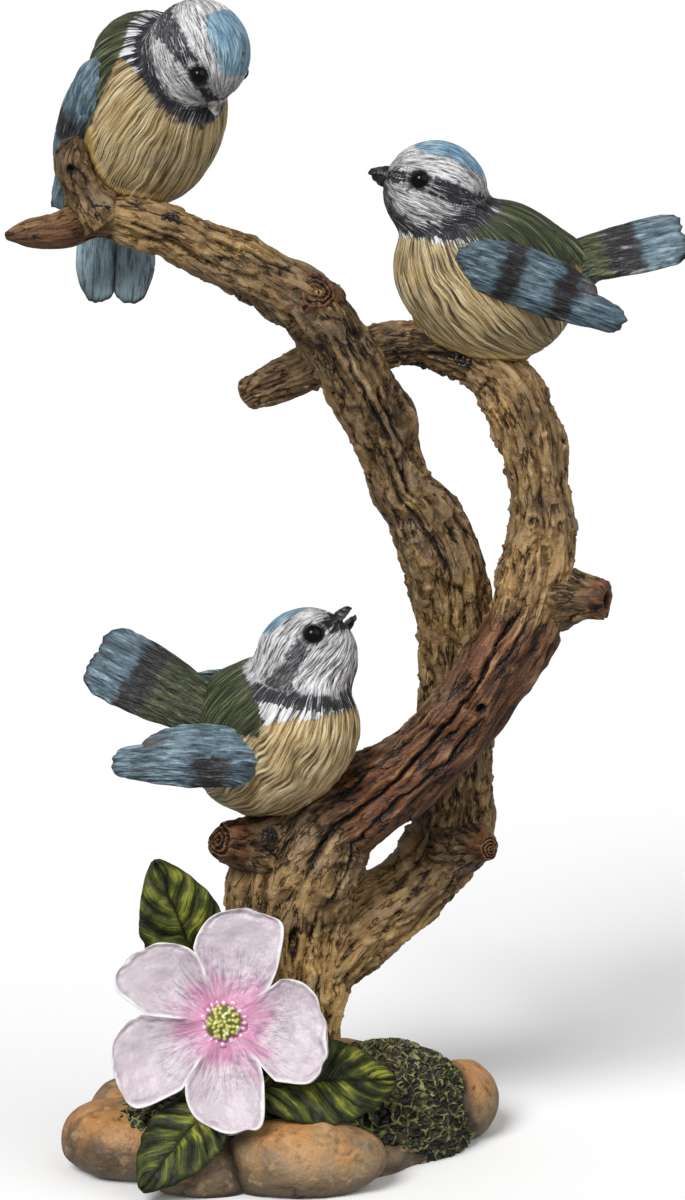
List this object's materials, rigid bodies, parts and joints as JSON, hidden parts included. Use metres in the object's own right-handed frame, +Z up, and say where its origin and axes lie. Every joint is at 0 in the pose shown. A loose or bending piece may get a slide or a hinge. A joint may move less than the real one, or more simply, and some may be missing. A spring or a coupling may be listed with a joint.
{
  "type": "bird group figurine",
  "caption": "Painted resin figurine: small songbirds perched on entwined branches that rise from a base of pebbles and moss, with a flower and leaves.",
  "frame": {"origin": "middle of the base's flat underside, on the surface it stands on", "axes": "+Z up; -Y is the front, from which all birds and the flower are seen; +X to the viewer's right"},
  "size_m": [0.1715, 0.0913, 0.298],
  "materials": {
    "bark_and_stone": "painted cast polyresin, brown bark and stones dry-brushed with ochre, satin",
    "plumage": "painted cast polyresin, cream belly, dusty blue wings and crown, satin",
    "petal": "painted cast polyresin, white with a pink middle, satin",
    "leaf": "painted cast polyresin, dark green with light veins, satin"
  },
  "bodies": {
    "root": {"branches_and_stone_base": "bark_and_stone", "bird_top_left": "plumage", "bird_right": "plumage", "bird_lower_left": "plumage", "flower": "petal", "leaf_behind_flower": "leaf", "leaf_front": "leaf", "leaf_right": "leaf"}
  },
  "joints": []
}
